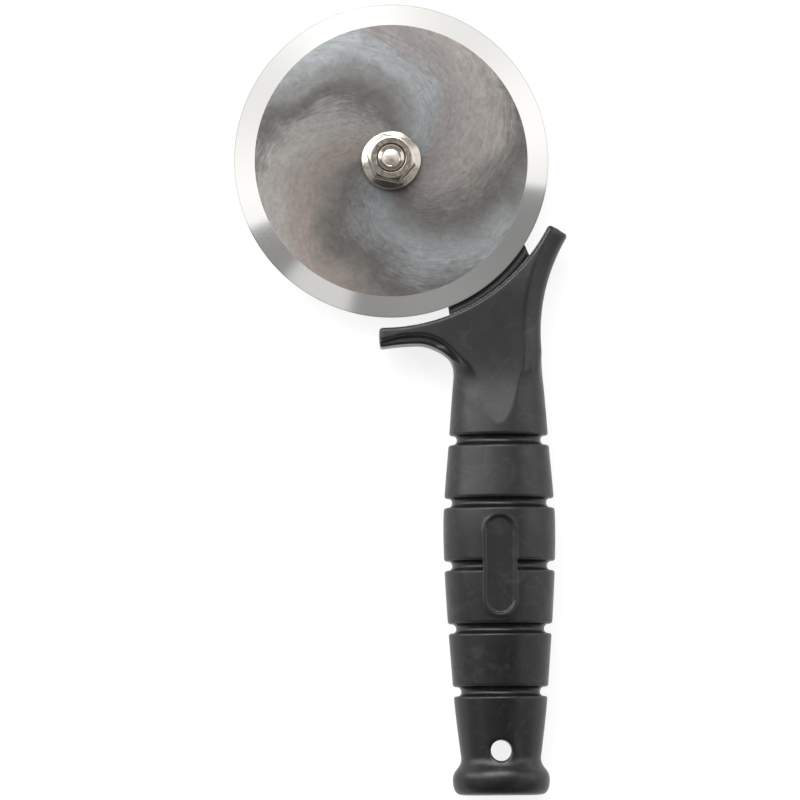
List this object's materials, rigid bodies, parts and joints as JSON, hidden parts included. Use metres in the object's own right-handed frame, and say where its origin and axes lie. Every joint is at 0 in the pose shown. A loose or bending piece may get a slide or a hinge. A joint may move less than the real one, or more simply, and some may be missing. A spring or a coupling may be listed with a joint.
{
  "type": "pizza knife",
  "caption": "Pizza wheel with a bevelled steel disc on a bolted axle, carried by an offset arm on a guarded, ringed knife-style grip with a lanyard hole.",
  "frame": {"origin": "on the wheel's axis, at the outer face of the bolt head, which lies on the table", "axes": "+Z along the axle away from the table, +Y along the handle towards the wheel, +X from the wheel's axis towards the handle's centreline"},
  "size_m": [0.1005, 0.2395, 0.0249],
  "materials": {
    "grip_nylon": "moulded glass-filled nylon, fine matte skin",
    "arm_nylon": "moulded glass-filled nylon, satin",
    "polished_steel": "polished stainless steel",
    "washer_steel": "stamped stainless steel",
    "sleeve_bronze": "turned bearing bronze",
    "ground_steel": "ground stainless steel with a bright bevel"
  },
  "bodies": {
    "handle": {"handle_grip": "grip_nylon", "arm_core": "arm_nylon", "axle_bolt": "polished_steel", "rear_thrust_washer": "washer_steel", "axle_sleeve": "sleeve_bronze", "front_thrust_washer": "washer_steel", "flange_nut": "polished_steel"},
    "wheel": {"blade_wheel": "ground_steel"}
  },
  "joints": [
    {"name": "wheel_spin", "type": "hinge", "parent": "handle", "child": "wheel", "pos_m": [0, 0, 0.0125], "axis": [0, 0, 1], "continuous": true}
  ]
}
